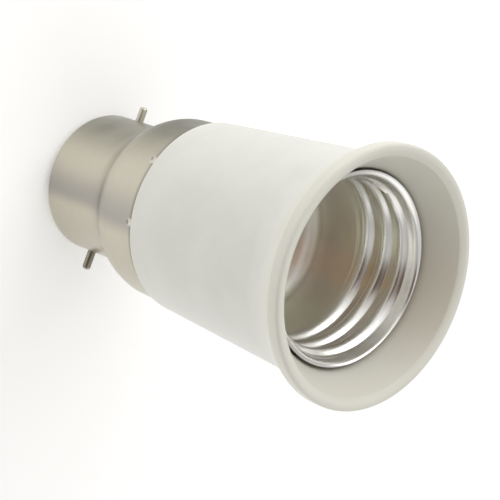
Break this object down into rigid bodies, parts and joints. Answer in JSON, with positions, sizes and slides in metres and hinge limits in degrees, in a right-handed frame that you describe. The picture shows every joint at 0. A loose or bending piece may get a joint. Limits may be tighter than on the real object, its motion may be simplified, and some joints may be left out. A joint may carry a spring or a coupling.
{
  "type": "lamp socket adapter",
  "caption": "white flared lamp adapter: satin metal bayonet cap with thin side pins at one end, screw socket with a rolled metal thread at the other",
  "frame": {"origin": "centre of the bounding box's bottom, on the plane of the two end contacts' faces", "axes": "+Z along the adapter's axis towards the socket's mouth, +X along the longer bayonet pin, +Y towards the neutral end contact"},
  "size_m": [0.038, 0.038, 0.0624],
  "materials": {
    "housing_plastic": "smooth matt white moulding",
    "fibre_disc": "reddish-brown pressed fibre",
    "bright_nickel": "bright nickel plate",
    "contact_brass": "bare rolled strip",
    "rivet_brass": "bare, pressed",
    "satin_nickel": "satin, brushed round the axis",
    "pin_steel": "plain drawn wire",
    "insulator_plastic": "dark brown moulding",
    "contact_tin": "tinned, slightly dull",
    "live_insulation": "brown insulation",
    "neutral_insulation": "blue insulation"
  },
  "bodies": {
    "adapter": {"housing": "housing_plastic", "insulating_disc": "fibre_disc", "screw_shell": "bright_nickel", "centre_contact_rivet": "rivet_brass", "shell_rivets": "rivet_brass", "bayonet_cap": "satin_nickel", "bayonet_pin_long": "pin_steel", "bayonet_pin_short": "pin_steel", "end_insulator": "insulator_plastic", "end_contact_live": "contact_tin", "end_contact_neutral": "contact_tin", "live_wire": "live_insulation", "neutral_wire": "neutral_insulation"},
    "contact_tongue": {"centre_contact": "contact_brass"}
  },
  "joints": [
    {"name": "contact_flex", "type": "hinge", "parent": "adapter", "child": "contact_tongue", "pos_m": [0, -0.0036, 0.0368], "axis": [-1, 0, 0], "range_deg": [0, 12], "stiffness_Nm_per_rad": 0.32, "deforming": ["centre_contact"]}
  ]
}
